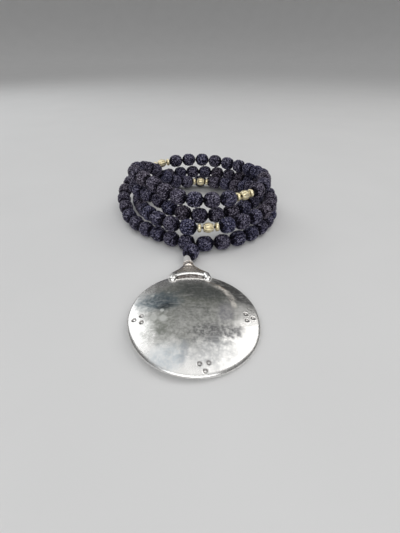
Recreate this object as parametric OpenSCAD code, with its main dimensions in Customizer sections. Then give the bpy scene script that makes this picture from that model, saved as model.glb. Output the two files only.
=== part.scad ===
// Melong amulet pendant on a wound string of seed beads, lying on a surface.
// Millimetres, +Z up. The origin is the middle of the overall footprint, on the surface.

/* [Beads] */
// Diameter of a seed bead
bead_d = 9.5; // [9.3:0.05:9.5]
// Diameter of the guru bead, where both ends of the string leave the loop
guru_d = 9.5; // [9:0.1:9.6]
// Diameter of the hole through a bead
bead_bore_d = 2.2; // [1.8:0.1:2.6]
// Diameter of the braided thread
thread_d = 1.2; // [0.8:0.1:1.3]

/* [Marker sets] */
// Diameter of the metal rings on both sides of a barrel
ring_d = 5; // [4.4:0.1:5.2]
// Length of a ring along the thread
ring_len = 2.2; // [1.8:0.1:2.2]
// Diameter of the fluted barrel
barrel_d = 5.8; // [5:0.1:6]
// Length of the barrel along the thread
barrel_len = 5.4; // [5:0.1:5.4]
// Bare thread between a ring and its barrel
set_gap = 1.1; // [0.8:0.1:1.1]
// Number of flutes round a barrel
flutes = 9; // [6:1:12]

/* [Melong] */
// Diameter of the disc
disc_d = 55; // [52:0.5:56]
// Thickness of the disc at its rim
rim_t = 2.2; // [1.8:0.1:2.6]
// Rise of the domed face above the rim
dome_h = 2.5; // [1.5:0.1:3]
// Depth of the hollow in the back
back_hollow = 1.5; // [0.5:0.1:1.8]
// Degrees by which the disc rises away from the front
slope_up = 4; // [3:0.5:5]
// Degrees by which the right side of the disc lies lower
slope_side = 4; // [3:0.5:5]
// Degrees by which the bail points left of straight back
bail_turn = 6.1; // [5:0.1:7]
// Degrees by which the neck of the bail bends down towards the string
neck_dip = 16; // [15:0.5:17]
// Width of the bail across its two lugs
bail_w = 20; // [18:0.5:22]
// Diameter of the neck where it meets the shoulders
neck_d = 4.6; // [4:0.1:5]
// Diameter of the neck at its mouth
mouth_d = 3; // [2.9:0.1:3.4]
// Diameter of a dimple in the three groups of dots
dot_d = 2; // [1.6:0.1:2.2]

/* [Places] */
// Centre of the wound string: across
coil_x = 2; // [1.9:0.1:2.1]
// Centre of the wound string: away from the front
coil_y = 45.1; // [45:0.1:45.2]
// Centre of the disc: across
disc_x = -0.2; // [-0.3:0.1:-0.1]
// Centre of the disc: away from the front
disc_y = -67.9; // [-68:0.1:-67.8]
// Centre of the guru bead: across
guru_x = -2.9; // [-3:0.1:-2.8]
// Centre of the guru bead: away from the front
guru_y = -17.8; // [-17.9:0.1:-17.8]

/* [Hidden] */
$fn = 48;
tiny = 0.01;

// The four turns of the string, chosen by hand where the strands lie.
// Columns: azimuth in degrees, counter-clockwise seen from above, 0 at the front and 90 at the right,
// then for each turn the radius from the coil's centre and the height of the thread.
turns = [
  [  0, 54.2, 4.75, 53.8, 14.5, 44.2, 17.3, 45.2, 27.1],
  [ 30, 52.2, 4.75, 51.6, 14.5, 42.0, 16.7, 44.2, 26.1],
  [ 60, 49.4, 4.75, 49.4, 14.5, 39.8, 17.2, 43.8, 26.0],
  [ 75, 48.6, 4.75, 47.4, 14.3, 38.0, 17.2, 42.2, 26.1],
  [ 90, 48.0, 4.75, 45.3, 14.0, 35.8, 16.6, 41.6, 25.1],
  [120, 47.6, 4.75, 43.2, 13.4, 33.4, 11.0, 40.2, 22.7],
  [150, 46.8, 4.75, 42.0, 13.1, 33.4,  8.6, 39.8, 22.6],
  [180, 45.5, 4.75, 41.8, 13.6, 33.6,  8.6, 41.0, 23.3],
  [210, 46.2, 4.75, 42.4, 13.6, 33.2, 10.2, 41.8, 23.3],
  [225, 48.2, 4.75, 43.4, 13.1, 33.4, 14.8, 44.6, 22.6],
  [240, 47.2, 4.75, 41.5, 12.8, 37.5, 23.0, 48.2, 19.8],
  [255, 44.2,  5.8, 42.0, 15.5, 41.6, 26.9, 51.7, 15.5],
  [270, 42.3,  8.7, 43.0, 19.0, 42.6, 28.8, 52.0, 12.1],
  [285, 41.0,  9.6, 42.2, 19.9, 42.0, 29.6, 50.6,  9.0],
  [300, 41.6, 10.9, 40.2, 21.1, 40.6, 30.8, 50.3,  6.2],
  [315, 45.0, 13.8, 37.4, 20.4, 39.2, 30.0, 49.2,  4.9],
  [330, 49.0, 14.7, 39.4, 18.5, 40.6, 28.2, 49.5,  4.9],
  [345, 52.1, 14.6, 42.2, 17.6, 43.3, 27.3, 51.9, 4.75],
];
turn_count = 4;
whole = 360 * turn_count;
stations = [for (k = [0:turn_count - 1]) for (row = turns)
            [row[0] + 360 * k, row[1 + 2 * k], row[2 + 2 * k]]];
station_count = len(stations);

// A station by number, which goes on round past both ends of the list
function station(i) = let (n = (i + station_count) % station_count)
  [stations[n][0] + whole * floor(i / station_count), stations[n][1], stations[n][2]];
function last_station(azimuth) = max([for (i = [0:station_count - 1]) if (stations[i][0] <= azimuth) i]);
function slope(a, b) = [b[1] - a[1], b[2] - a[2]] / (b[0] - a[0]);

// Radius and height between two stations, as a smooth cubic
function smooth(azimuth) = let (
    i = last_station(azimuth),
    p = station(i), q = station(i + 1),
    span = q[0] - p[0],
    t = (azimuth - p[0]) / span,
    in_slope = slope(station(i - 1), q) * span,
    out_slope = slope(p, station(i + 2)) * span
  )
  (2 * pow(t, 3) - 3 * pow(t, 2) + 1) * [p[1], p[2]] + (pow(t, 3) - 2 * pow(t, 2) + t) * in_slope
  + (3 * pow(t, 2) - 2 * pow(t, 3)) * [q[1], q[2]] + (pow(t, 3) - pow(t, 2)) * out_slope;
function wrapped(azimuth) = azimuth < 0 ? azimuth + whole : azimuth >= whole ? azimuth - whole : azimuth;
function path(azimuth) = let (at = smooth(wrapped(azimuth)))
  [coil_x + at[0] * sin(azimuth), coil_y - at[0] * cos(azimuth), at[1]];

// Where the string starts, and its length up to each degree of azimuth
start_azimuth = -3;
samples = [for (a = [0:whole]) path(start_azimuth + a)];
lengths = [for (i = 0, s = 0; i <= whole; s = s + (i < whole ? norm(samples[i + 1] - samples[i]) : 0), i = i + 1) s];
azimuth_at_length = [for (i = [0:whole]) [lengths[i], start_azimuth + i]];
loop_length = lengths[whole];
function along(s) = path(lookup(s < 0 ? s + loop_length : s > loop_length ? s - loop_length : s, azimuth_at_length));

// The order of the string. Columns: beads in the section, and the distance from bead to bead.
// A marker set follows each section but the last.
sections = [[30, 10.1], [39, 9.8], [15, 9.72], [12, 10.27], [12, 9.68]];
bead_end_gap = 0.25;
junction_gap = 0.5;
set_len = 2 * ring_len + barrel_len + 2 * set_gap + bead_end_gap;
function section_start(k) =
  k == 0 ? junction_gap : section_start(k - 1) + sections[k - 1][0] * sections[k - 1][1] + set_len;
function bead_distance(k, i) = section_start(k) + (i + 0.5) * sections[k][1];
function set_distance(k) = section_start(k + 1) - set_len / 2;
ring_offset = barrel_len / 2 + set_gap + ring_len / 2;

// Pieces on the thread in order, each with its distance along the string and its length
pieces = [for (k = [0:len(sections) - 1]) each concat(
  [for (i = [0:sections[k][0] - 1]) [bead_distance(k, i), bead_d]],
  k == len(sections) - 1 ? [] : [
    [set_distance(k) - ring_offset, ring_len],
    [set_distance(k), barrel_len],
    [set_distance(k) + ring_offset, ring_len]])];
function direction(piece) = let (v = along(piece[0] + piece[1] / 2) - along(piece[0] - piece[1] / 2)) v / norm(v);

// The stem of thread from the loop through the guru bead into the neck of the bail
guru_at = [guru_x, guru_y, bead_d / 2];
junction_at = along(0);
neck_len = 10.73;
shoulder_y = disc_d / 2 + 7.7;
function turned(v) = let (
    a = [v[0] * cos(bail_turn) - v[1] * sin(bail_turn), v[0] * sin(bail_turn) + v[1] * cos(bail_turn), v[2]],
    b = [a[0], a[1] * cos(slope_up) - a[2] * sin(slope_up), a[1] * sin(slope_up) + a[2] * cos(slope_up)]
  ) [b[0] * cos(slope_side) + b[2] * sin(slope_side), b[1], b[2] * cos(slope_side) - b[0] * sin(slope_side)];
disc_r = disc_d / 2;
// The height at which the tilted disc just rests on the surface with its nearest rim
disc_z = rim_t / 2 + (disc_r - rim_t / 2) * sin(acos(cos(slope_up) * cos(slope_side)));
disc_at = [disc_x, disc_y, disc_z];
neck_root = [0, shoulder_y, 0];
function on_neck(d) = disc_at + turned(neck_root + d * [0, cos(neck_dip), -sin(neck_dip)]);

module place(at, along_axis) {
  translate(at)
    rotate([0, acos(along_axis[2]), atan2(along_axis[1], along_axis[0])])
      children();
}

module drilled_bead(d) {
  difference() {
    sphere(d = d);
    cylinder(d = bead_bore_d, h = 2 * d, center = true);
  }
}

module spacer_ring(set, side) {
  piece = [set_distance(set) + side * ring_offset, ring_len];
  color("burlywood")
    place(along(piece[0]), direction(piece))
      difference() {
        union() {
          rotate_extrude()
            translate([ring_d / 2 - ring_len / 2, 0])
              circle(d = ring_len);
          cylinder(d = ring_d - ring_len, h = ring_len, center = true);
        }
        cylinder(d = bead_bore_d - 0.4, h = 2 * ring_len, center = true);
      }
}

module fluted_barrel(set) {
  piece = [set_distance(set), barrel_len];
  belly_r = 9;
  flute_r = 0.5;
  color("burlywood")
    place(along(piece[0]), direction(piece))
      difference() {
        rotate_extrude()
          intersection() {
            translate([barrel_d / 2 - belly_r, 0])
              circle(r = belly_r);
            translate([0, -barrel_len / 2])
              square([barrel_d, barrel_len]);
          }
        cylinder(d = bead_bore_d - 0.4, h = 2 * barrel_len, center = true);
        for (i = [0:flutes - 1])
          rotate(360 / flutes * i)
            translate([barrel_d / 2 + flute_r / 2, 0, 0])
              cylinder(r = flute_r, h = 2 * barrel_len, center = true);
      }
}

module bead_string() {
  color("dimgray")
    for (k = [0:len(sections) - 1])
      for (i = [0:sections[k][0] - 1]) {
        piece = [bead_distance(k, i), bead_d];
        place(along(piece[0]), direction(piece))
          drilled_bead(bead_d);
      }
}

module guru_bead() {
  reach = on_neck(neck_len) - junction_at;
  color("dimgray")
    place(guru_at, reach / norm(reach))
      drilled_bead(guru_d);
}

// A six-sided tube through rings of points, closed to a loop or with both ends capped
tube_sides = 6;
function tube_ring(at, axis, r) = let (
    u = cross(axis, [0, 0, 1]) / norm(cross(axis, [0, 0, 1])),
    v = cross(u, axis)
  ) [for (i = [0:tube_sides - 1]) at + r * (cos(60 * i) * u + sin(60 * i) * v)];
function tube_faces(rings, closed) = [
  for (k = [0:rings - (closed ? 1 : 2)]) for (i = [0:tube_sides - 1]) each let (
      a = k * tube_sides + i, b = k * tube_sides + (i + 1) % tube_sides,
      c = ((k + 1) % rings) * tube_sides + i, d = ((k + 1) % rings) * tube_sides + (i + 1) % tube_sides
    ) [[a, b, c], [b, d, c]]];

module thread_loop() {
  rings = [for (piece = pieces) each let (
      axis = direction(piece), at = along(piece[0]),
      reach = piece[1] / 2 - min(0.6, piece[1] / 4)
    ) [tube_ring(at - reach * axis, axis, thread_d / 2), tube_ring(at + reach * axis, axis, thread_d / 2)]];
  polyhedron([for (r = rings) each r], tube_faces(len(rings), true), convexity = 8);
}

module thread_stem() {
  reach = on_neck(neck_len) - junction_at;
  axis = reach / norm(reach);
  r = thread_d / 2 - 0.05;
  inner = on_neck(neck_len) - on_neck(neck_len - 1);
  rings = [tube_ring(junction_at, axis, r),
           tube_ring(guru_at - guru_d / 2 * axis, axis, r),
           tube_ring(guru_at + (guru_d / 2 - 0.6) * axis, axis, r),
           tube_ring(on_neck(neck_len + 0.15), -inner, r),
           tube_ring(on_neck(neck_len - 5), -inner, r)];
  last = len(rings) - 1;
  caps = [[for (i = [tube_sides - 1:-1:0]) i], [for (i = [0:tube_sides - 1]) last * tube_sides + i]];
  polyhedron([for (ring = rings) each ring], concat(tube_faces(len(rings), false), caps), convexity = 4);
}

module thread() {
  color("black")
    union() {
      thread_loop();
      thread_stem();
    }
}

// The disc: a shallow dome with a rounded rim and a hollow back
module disc() {
  r = disc_r - rim_t / 2;
  dome_r = (r * r + dome_h * dome_h) / (2 * dome_h);
  back_r = (r * r + back_hollow * back_hollow) / (2 * back_hollow);
  difference() {
    union() {
      cylinder(r = r, h = rim_t, center = true);
      rotate_extrude()
        translate([r, 0])
          circle(d = rim_t);
      intersection() {
        translate([0, 0, rim_t / 2 + dome_h - dome_r])
          sphere(r = dome_r, $fn = 180);
        cylinder(r = r, h = rim_t / 2 + dome_h);
      }
    }
    translate([0, 0, back_hollow - rim_t / 2 - back_r])
      sphere(r = back_r, $fn = 180);
    dots();
  }
}

// Three groups of three dimples in the face, at the left, the front and the right.
// Columns: degrees from the bail, and distance from the centre over the disc's radius.
dot_groups = [[92, 0.82], [183.4, 0.85], [-94, 0.81]];
dot_spread = 1.95;
dot_depth = 0.3;
dot_r = (dot_d * dot_d / 4 + dot_depth * dot_depth) / (2 * dot_depth);
function face_height(r) = rim_t / 2 + dome_h * (1 - pow(r / (disc_r - rim_t / 2), 2));
function dot_at(group, i) = [dot_spread * sin(120 * i), group[1] * disc_r + dot_spread * cos(120 * i)];
module dots() {
  for (group = dot_groups)
    for (i = [0:2])
      rotate(group[0])
        translate([dot_at(group, i)[0], dot_at(group, i)[1],
                   face_height(norm(dot_at(group, i))) + dot_r - dot_depth])
          sphere(r = dot_r);
}

// The bail: a bar along the far rim between two lugs, shoulders, and a hollow neck
bar_r = 1.25;
bar_arc = 34;
lug_r = 2;
lug_len = 2.2;
shoulder_t = 3.2;
module shoulders() {
  half = bail_w / 2;
  side_r = 9.5;
  difference() {
    translate([0, 0, -1.2])
      linear_extrude(shoulder_t)
        difference() {
          translate([0, disc_r - 2])
            polygon([[-half, 0], [half, 0], [half, 1.9], [half - 1.8, 3.6], [half - 4, 4.4],
                     [neck_d / 2, 10.4], [-neck_d / 2, 10.4], [4 - half, 4.4], [1.8 - half, 3.6], [-half, 1.9]]);
          for (side = [-1, 1])
            translate([side * (neck_d / 2 + side_r - 1.0), disc_r + 11.9])
              circle(r = side_r);
        }
    neck_bore();
  }
}
module neck() {
  translate(neck_root)
    rotate([-90 - neck_dip, 0, 0])
      rotate_extrude()
        polygon([[0, -2.5], [neck_d / 2, -2.5], [neck_d / 2, 0.6], [neck_d / 2 + 0.25, 1.2], [neck_d / 2, 1.8],
                 [neck_d / 2 - 0.2, 3.5], [mouth_d / 2 + 0.1, neck_len - 1], [mouth_d / 2 - 0.1, neck_len], [0, neck_len]]);
}
module neck_bore() {
  translate(neck_root)
    rotate([-90 - neck_dip, 0, 0])
      translate([0, 0, neck_len - 6])
        cylinder(d = bead_bore_d - 0.4, h = 8);
}
module bail() {
  shoulders();
  difference() {
    neck();
    neck_bore();
  }
  translate([0, 0, 1.6])
    rotate(90 - bar_arc / 2)
      rotate_extrude(angle = bar_arc)
        translate([disc_r - 1.4, 0])
          circle(r = bar_r);
  for (side = [-1, 1])
    translate([side * (bail_w / 2 - lug_r), disc_r - 4, 1])
      rotate([-90, 0, side * 16]) {
        cylinder(r = lug_r, h = lug_len);
        sphere(r = lug_r);
        translate([0, 0, lug_len])
          sphere(r = lug_r);
      }
}

module melong() {
  color("silver")
    translate(disc_at)
      rotate([slope_up, slope_side, 0])
        rotate(bail_turn)
          union() {
            disc();
            bail();
          }
}

module front_first_ring() { spacer_ring(0, -1); }
module front_barrel() { fluted_barrel(0); }
module front_second_ring() { spacer_ring(0, 1); }
module back_first_ring() { spacer_ring(1, -1); }
module back_barrel() { fluted_barrel(1); }
module back_second_ring() { spacer_ring(1, 1); }
module right_first_ring() { spacer_ring(2, -1); }
module right_barrel() { fluted_barrel(2); }
module right_second_ring() { spacer_ring(2, 1); }
module left_first_ring() { spacer_ring(3, -1); }
module left_barrel() { fluted_barrel(3); }
module left_second_ring() { spacer_ring(3, 1); }

bead_string();
guru_bead();
thread();
melong();
front_first_ring();
front_barrel();
front_second_ring();
back_first_ring();
back_barrel();
back_second_ring();
right_first_ring();
right_barrel();
right_second_ring();
left_first_ring();
left_barrel();
left_second_ring();
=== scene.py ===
"""A melong amulet pendant on a string of rough seeds wound in four turns, dressed for rendering.

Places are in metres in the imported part's frame. Shapes are worked out in millimetres.
"""
from math import acos, asin, copysign, cos, hypot, pi, radians, sin, sqrt

import bmesh
import bpy
from mathutils import Euler, Matrix, Vector, noise

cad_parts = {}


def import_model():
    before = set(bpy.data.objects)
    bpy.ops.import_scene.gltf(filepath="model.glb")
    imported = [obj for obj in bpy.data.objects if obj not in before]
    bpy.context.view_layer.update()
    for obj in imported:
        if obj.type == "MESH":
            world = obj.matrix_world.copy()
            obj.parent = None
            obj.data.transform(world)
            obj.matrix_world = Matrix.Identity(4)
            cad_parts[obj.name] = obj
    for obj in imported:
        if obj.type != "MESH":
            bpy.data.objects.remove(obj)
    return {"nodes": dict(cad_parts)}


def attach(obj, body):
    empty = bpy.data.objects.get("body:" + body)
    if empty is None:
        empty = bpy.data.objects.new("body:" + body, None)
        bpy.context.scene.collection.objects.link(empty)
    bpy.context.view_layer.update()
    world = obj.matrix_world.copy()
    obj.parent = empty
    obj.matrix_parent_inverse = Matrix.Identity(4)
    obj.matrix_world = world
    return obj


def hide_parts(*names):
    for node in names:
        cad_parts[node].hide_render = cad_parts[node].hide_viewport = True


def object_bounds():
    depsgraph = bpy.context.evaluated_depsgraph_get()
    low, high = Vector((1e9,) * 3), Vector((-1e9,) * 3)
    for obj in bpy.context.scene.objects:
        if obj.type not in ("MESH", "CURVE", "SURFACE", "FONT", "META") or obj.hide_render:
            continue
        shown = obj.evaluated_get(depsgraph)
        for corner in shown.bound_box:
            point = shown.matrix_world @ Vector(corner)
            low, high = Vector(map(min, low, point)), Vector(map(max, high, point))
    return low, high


MM = 0.001

# The string: its seeds, marker sets and thread
SEED_R = 4.75
SEED_SQUARE = 2.4
MOUTH_R = 1.1
LIP_R = MOUTH_R + 0.12
SEEDS_PER_TURN = 27
RING_HALF = 1.1
BARREL_HALF = 2.7
TURN_NAMES = ("first", "second", "third", "fourth")
SET_NAMES = ("front", "back", "right", "left")
THREAD_D = 1.2
THREAD_PITCH = 3.6
THREAD_STEP = 0.55
THREAD_SIDES = 12
STEM_INSIDE = 5
RANDOM_SEED = 7

# The flutes of a marker barrel, and half its profile: radius, and distance from its middle
FLUTES = 9
FLUTE_DEPTH = 0.36
BARREL_PROFILE = ((2.9, 0.0), (2.86, 0.65), (2.72, 1.25), (2.5, 1.75), (2.22, 2.16), (2.12, 2.26),
                  (2.2, 2.42), (2.16, 2.6), (2.0, 2.7), (1.35, 2.7), (1.1, 2.62))

# The melong: its disc, how it lies, and the bail at the far side of its rim
DISC_R = 27.5
RIM_T = 2.2
DOME_H = 2.5
BACK_HOLLOW = 1.5
RING_R = DISC_R - RIM_T / 2
RIM_ROUND = 2.0
RIM_START = radians(73)
FACE_STEPS, RIM_STEPS, BACK_STEPS = 106, 16, 38
DISC_XY = (-0.2, -67.9)
SLOPE_UP = radians(4)
SLOPE_SIDE = radians(4)
BAIL_TURN = radians(6.1)
NECK_ROOT = Vector((0, DISC_R + 7.7, 0))
NECK_DIP = radians(16)
NECK_LEN = 10.73
DOT_GROUPS = ((92, 0.82), (183.4, 0.85), (-94, 0.81))
DOT_SPREAD = 1.95
DOT_R = 1.0
DOT_DEPTH = 0.3

# The bail's bar, the ledge before it, and the lugs at their ends
BAR_R = DISC_R - 1.1
BAR_HEIGHT = 1.5
BAR_RISE = 0.9
BAR_HALF_WIDTH = 7.7
BAR_HALF_TURN = radians(17)
LEDGE_R = DISC_R - 3.8
SLIT_R = DISC_R - 2.3
LUG_ACROSS = 8.25
LUG_TURN = radians(16)

# The bail's shoulders: distance from the disc's middle, half width, top, bottom and squareness
SHOULDERS = (
    (24.9, 8.8, 1.5, -0.9, 4.0), (25.6, 9.9, 1.9, -1.2, 4.0), (27.2, 9.9, 2.0, -1.2, 3.6),
    (28.6, 8.8, 2.0, -1.2, 3.4), (29.6, 7.3, 2.0, -1.2, 3.2), (30.8, 5.7, 2.0, -1.3, 2.9),
    (32.4, 4.1, 2.1, -1.5, 2.5), (34.2, 2.8, 2.2, -2.0, 2.2), (36.4, 2.25, 1.9, -2.3, 2.0),
)
SHOULDER_MIDDLE = 0.3

# The bail's neck: radius, and distance along it. It turns in at the mouth and back down the bore
NECK = (
    (0, -2.5), (2.2, -2.5), (2.3, -0.2), (2.36, 0.5), (2.62, 0.8), (2.72, 1.2), (2.62, 1.6),
    (2.34, 1.9), (2.2, 2.6), (2.12, 4.0), (1.98, 6.5), (1.8, 8.8), (1.62, 10.1), (1.52, 10.5),
    (1.34, 10.7), (1.12, 10.63), (0.95, 10.35), (0.95, 5.0), (0, 5.0),
)

# The floor and the lights, in metres
FLOOR_GAP = 0.00002
LIT_PLACE = (0, -0.03, 0)
SOFTBOX_DISTANCE = 0.9

# The camera, at the photograph's angle
CAMERA_AT = (2.0, -163.9, 97.5)
CAMERA_DOWN = 35
CAMERA_LENS = 21.614


# Meshes


def new_object(name, mesh):
    """An object of that mesh, in the scene, shaded smooth."""
    for face in mesh.polygons:
        face.use_smooth = True
    obj = bpy.data.objects.new(name, mesh)
    bpy.context.scene.collection.objects.link(obj)
    return obj


def closed_mesh(name, points, faces):
    """A mesh of a closed skin, with its faces turned outwards."""
    mesh = bpy.data.meshes.new(name)
    mesh.from_pydata(points, [], faces)
    work = bmesh.new()
    work.from_mesh(mesh)
    bmesh.ops.recalc_face_normals(work, faces=work.faces)
    work.to_mesh(mesh)
    work.free()
    return mesh


def stitch(rings, closed=False):
    """Points and faces of a skin over rings of points, each with as many points as the next, half
    as many, twice as many, or one."""
    points = [p for ring in rings for p in ring]
    starts = [0]
    for ring in rings:
        starts.append(starts[-1] + len(ring))
    pairs = [(k, k + 1) for k in range(len(rings) - 1)] + ([(len(rings) - 1, 0)] if closed else [])
    faces = []
    for a, b in pairs:
        if len(rings[a]) > len(rings[b]):
            a, b = b, a
        few, many = len(rings[a]), len(rings[b])
        at_a, at_b = starts[a], starts[b]
        for i in range(few):
            here, there = at_a + i, at_a + (i + 1) % few
            if few == 1:
                faces += [(here, at_b + k, at_b + (k + 1) % many) for k in range(many)]
            elif few == many:
                faces.append((here, there, at_b + (i + 1) % many, at_b + i))
            else:
                left, mid, right = (at_b + (2 * i + k) % many for k in range(3))
                faces += [(here, mid, left), (here, there, mid), (there, right, mid)]
    return points, faces


def circle_count(radius, spacing, least=24):
    """How many points a ring takes: the least number, doubled until they are near enough."""
    count = least
    while 2 * pi * radius / count > spacing:
        count *= 2
    return count


def around(count):
    """The angles of points spread evenly round a ring."""
    return [2 * pi * i / count for i in range(count)]


def level_ring(radius, height, count):
    """Points spread evenly round a level circle."""
    return [(radius * cos(a), radius * sin(a), height) for a in around(count)]


def signed_power(value, power):
    """A power of the value's size, with the value's sign."""
    return copysign(abs(value) ** power, value)


def along_axis(at, axis):
    """The place of a piece whose own Z points along an axis."""
    return Matrix.Translation(at) @ Vector(axis).to_track_quat("Z", "Y").to_matrix().to_4x4()


def value_attribute(mesh, name, values):
    """Stores one number for each point."""
    mesh.attributes.new(name, "FLOAT", "POINT").data.foreach_set("value", values)


def place_attribute(mesh, name, places):
    """Stores one place for each point."""
    flat = [number for place in places for number in place]
    mesh.attributes.new(name, "FLOAT_VECTOR", "POINT").data.foreach_set("vector", flat)


def evaluated_mesh(obj):
    """The mesh that an object's modifiers make."""
    graph = bpy.context.evaluated_depsgraph_get()
    return bpy.data.meshes.new_from_object(obj.evaluated_get(graph), depsgraph=graph)


def smooth_step(low, high, value):
    """0 below the low value, 1 above the high one, and smooth between."""
    t = min(1, max(0, (value - low) / (high - low)))
    return t * t * (3 - 2 * t)


def finish_piece(obj, nodes):
    """Makes a piece ride on the part and stand for its nodes."""
    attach(obj, "root")
    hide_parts(*nodes)


# Node trees


class Tree:
    """Adds nodes to a tree and links them, in short calls."""

    def __init__(self, tree, shader=""):
        self.tree, self.shader = tree, tree.nodes.get(shader)

    def add(self, kind, inputs=None, **settings):
        """A node, with its settings and with its inputs by name or number."""
        node = self.tree.nodes.new(kind)
        for name, value in settings.items():
            setattr(node, name, value)
        for key, value in (inputs or {}).items():
            self.set(node, key, value)
        return node

    def out(self, kind, inputs=None, **settings):
        """The first output of a new node."""
        return self.add(kind, inputs, **settings).outputs[0]

    def set(self, node, key, value):
        """Sets an input of a node to a plain value, or links another node's output to it."""
        if isinstance(value, bpy.types.NodeSocket):
            self.tree.links.new(value, node.inputs[key])
        else:
            node.inputs[key].default_value = value

    def feed(self, name, value):
        """Sets or links an input of the shader."""
        self.set(self.shader, name, value)

    def math(self, operation, *values):
        """One number from a math node."""
        return self.out("ShaderNodeMath", dict(enumerate(values)), operation=operation)

    def plus(self, first, second):
        """The sum of two numbers."""
        return self.math("ADD", first, second)

    def minus(self, first, second):
        """The first number less the second."""
        return self.math("SUBTRACT", first, second)

    def times(self, first, second):
        """The product of two numbers."""
        return self.math("MULTIPLY", first, second)

    def vector(self, operation, *values):
        """One vector from a vector math node."""
        return self.out("ShaderNodeVectorMath", dict(enumerate(values)), operation=operation)

    def scaled(self, vector, factor):
        """A vector times a number."""
        return self.out("ShaderNodeVectorMath", {0: vector, "Scale": factor}, operation="SCALE")

    def split(self, vector):
        """The three numbers of a vector."""
        return self.add("ShaderNodeSeparateXYZ", {0: vector}).outputs

    def remap(self, value, low, high, to_low=0.0, to_high=1.0, smooth=True):
        """A value moved from one range to another, and kept inside it."""
        kind = "SMOOTHSTEP" if smooth else "LINEAR"
        inputs = {0: value, 1: low, 2: high, 3: to_low, 4: to_high}
        return self.out("ShaderNodeMapRange", inputs, interpolation_type=kind)

    def blend(self, factor, first, second):
        """A colour between two."""
        inputs = {0: factor, 6: first, 7: second}
        return self.add("ShaderNodeMix", inputs, data_type="RGBA").outputs[2]

    def grain(self, at, size, detail=2.0, rough=0.5):
        """Smooth noise whose lumps have the given size, as a number about one half."""
        inputs = {"Vector": at, "Scale": 1 / size, "Detail": detail, "Roughness": rough}
        return self.out("ShaderNodeTexNoise", inputs)

    def bent(self, vector, at, scale, amount, detail=2.0):
        """A vector moved by a swirl of noise."""
        inputs = {"Vector": at, "Scale": scale, "Detail": detail}
        swirl = self.add("ShaderNodeTexNoise", inputs).outputs[1]
        return self.vector("ADD", vector, self.scaled(swirl, amount))


def group_tree(kind, name, inputs, output):
    """A node group with named inputs and one output, and its first and last nodes."""
    group = bpy.data.node_groups.new(name, kind)
    for in_out, sockets in (("INPUT", inputs), ("OUTPUT", (output,))):
        for socket, sort in sockets:
            group.interface.new_socket(socket, in_out=in_out, socket_type="NodeSocket" + sort)
    tree = Tree(group)
    return tree, tree.add("NodeGroupInput").outputs, tree.add("NodeGroupOutput")


def rgb(red, green, blue):
    """A colour with no transparency."""
    return (red, green, blue, 1)


def grey(value):
    """A grey with no transparency."""
    return rgb(value, value, value)


def new_material(name):
    """A material and its tree, which holds its Principled shader."""
    material = bpy.data.materials.new(name)
    material.use_nodes = True
    return material, Tree(material.node_tree, "Principled BSDF")


def object_place(tree):
    """Where a point is on the whole object, in millimetres."""
    return tree.scaled(tree.add("ShaderNodeTexCoord").outputs["Object"], 1000)


def attribute(tree, name, output="Fac"):
    """An attribute of the mesh."""
    return tree.add("ShaderNodeAttribute", attribute_name=name).outputs[output]


def bump(tree, height, distance_mm):
    """Raises the surface by up to that many millimetres."""
    inputs = {"Distance": distance_mm * MM, "Height": height}
    tree.feed("Normal", tree.out("ShaderNodeBump", inputs))


# Shared shader groups


def scratch_group():
    """Fine scratches in crossing directions, as a mask."""
    tree, given, out = group_tree("ShaderNodeTree", "Fine scratches", (
        ("At", "Vector"), ("Spacing", "Float")), ("Mask", "Float"))
    mask = None
    for turn, reach in ((0.4, 9), (1.5, 12), (2.6, 7)):
        turned = tree.out("ShaderNodeMapping", {"Vector": given["At"], "Rotation": (0, 0, turn),
                                                "Scale": (1 / reach, 1, 1)})
        bent = tree.bent(turned, given["At"], 0.15, 1.4)
        stretched = tree.scaled(bent, tree.math("DIVIDE", 1, given["Spacing"]))
        one = tree.remap(tree.grain(stretched, 1.0, 3.0, 0.6), 0.60, 0.70)
        mask = one if mask is None else tree.math("MAXIMUM", mask, one)
    tree.set(out, 0, mask)
    return tree.tree


def stain_group():
    """A stain with a ragged border: 1 inside an ellipse round its centre, 0 outside."""
    tree, given, out = group_tree("ShaderNodeTree", "Ragged stain", (
        ("At", "Vector"), ("Centre", "Vector"), ("Turn", "Float"), ("Half Length", "Float"),
        ("Half Width", "Float"), ("Softness", "Float"), ("Raggedness", "Float")), ("Mask", "Float"))
    offset = tree.vector("SUBTRACT", given["At"], given["Centre"])
    turned = tree.out("ShaderNodeVectorRotate", {"Vector": offset, "Angle": given["Turn"]},
                      rotation_type="Z_AXIS")
    parts = tree.split(turned)
    along = tree.math("DIVIDE", parts[0], given["Half Length"])
    across = tree.math("DIVIDE", parts[1], given["Half Width"])
    reach = tree.math("SQRT", tree.plus(tree.times(along, along), tree.times(across, across)))
    wander = tree.minus(tree.grain(given["At"], 4.0, 5.0, 0.6), 0.5)
    ragged = tree.math("MULTIPLY_ADD", wander, given["Raggedness"], reach)
    low = tree.minus(1, given["Softness"])
    high = tree.plus(1, given["Softness"])
    tree.set(out, 0, tree.remap(ragged, low, high, 1.0, 0.0))
    return tree.tree


def scratched(tree, scratches, at, spacing):
    """The mask of fine scratches."""
    return tree.out("ShaderNodeGroup", {"At": at, "Spacing": spacing}, node_tree=scratches)


def stained(tree, stains, at, centre, half_long, half_wide, turn, soft, ragged):
    """The mask of one stain."""
    inputs = {"At": at, "Centre": (*centre, 0), "Turn": -turn, "Half Length": half_long,
              "Half Width": half_wide, "Softness": soft, "Raggedness": ragged}
    return tree.out("ShaderNodeGroup", inputs, node_tree=stains)


# Materials


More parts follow.
